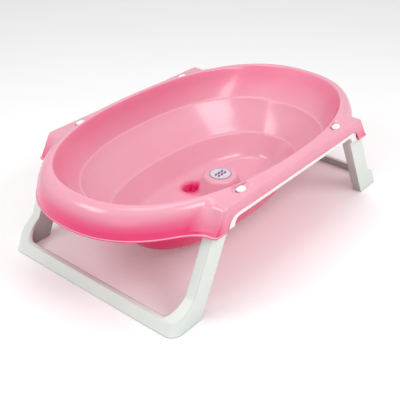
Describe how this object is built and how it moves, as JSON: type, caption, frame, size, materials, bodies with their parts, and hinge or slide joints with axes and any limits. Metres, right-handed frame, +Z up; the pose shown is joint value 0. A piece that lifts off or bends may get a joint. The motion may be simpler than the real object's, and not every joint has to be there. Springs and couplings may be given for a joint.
{
  "type": "baby bathtub",
  "caption": "Oval baby bathtub with a stepped basin, a central pommel and side flanges, standing on U-shaped leg frames that fold in under it.",
  "frame": {"origin": "on the floor under the middle of the tub", "axes": "+X along the tub, +Y across it, +Z up"},
  "size_m": [0.8951, 0.535, 0.248],
  "materials": {
    "tub_plastic": "gloss",
    "white_plastic": "satin",
    "leg_plastic": "satin",
    "clip_plastic": "gloss",
    "steel": "brushed",
    "pad_rubber": "matte",
    "badge_white": "gloss",
    "badge_grey": "gloss",
    "drain_plastic": "gloss",
    "plug_plastic": "gloss",
    "seal_rubber": "matte"
  },
  "bodies": {
    "tub": {"tub_shell": "tub_plastic", "side_bracket_front": "white_plastic", "side_bracket_rear": "white_plastic", "bracket_clip_front_left": "clip_plastic", "hinge_pin_front_left": "steel", "pin_retainer_front_left": "steel", "bracket_clip_front_right": "clip_plastic", "hinge_pin_front_right": "steel", "pin_retainer_front_right": "steel", "bracket_clip_rear_left": "clip_plastic", "hinge_pin_rear_left": "steel", "pin_retainer_rear_left": "steel", "bracket_clip_rear_right": "clip_plastic", "hinge_pin_rear_right": "steel", "pin_retainer_rear_right": "steel", "badge_plate": "badge_white", "badge_rim": "badge_grey", "drain_seat": "drain_plastic", "drain_nut": "drain_plastic"},
    "left_legs": {"leg_frame_left": "leg_plastic", "foot_pad_front_left": "pad_rubber", "foot_pad_rear_left": "pad_rubber"},
    "right_legs": {"leg_frame_right": "leg_plastic", "foot_pad_front_right": "pad_rubber", "foot_pad_rear_right": "pad_rubber"},
    "plug": {"drain_plug": "plug_plastic", "plug_seal": "seal_rubber"}
  },
  "joints": [
    {"name": "left_leg_fold", "type": "hinge", "parent": "tub", "child": "left_legs", "pos_m": [-0.252, 0, 0.2], "axis": [0, -1, 0], "range_deg": [0, 72]},
    {"name": "right_leg_fold", "type": "hinge", "parent": "tub", "child": "right_legs", "pos_m": [0.252, 0, 0.2], "axis": [0, 1, 0], "range_deg": [0, 72]},
    {"name": "plug_lift", "type": "slide", "parent": "tub", "child": "plug", "axis": [0, 0, 1], "range_m": [0, 0.06]}
  ]
}
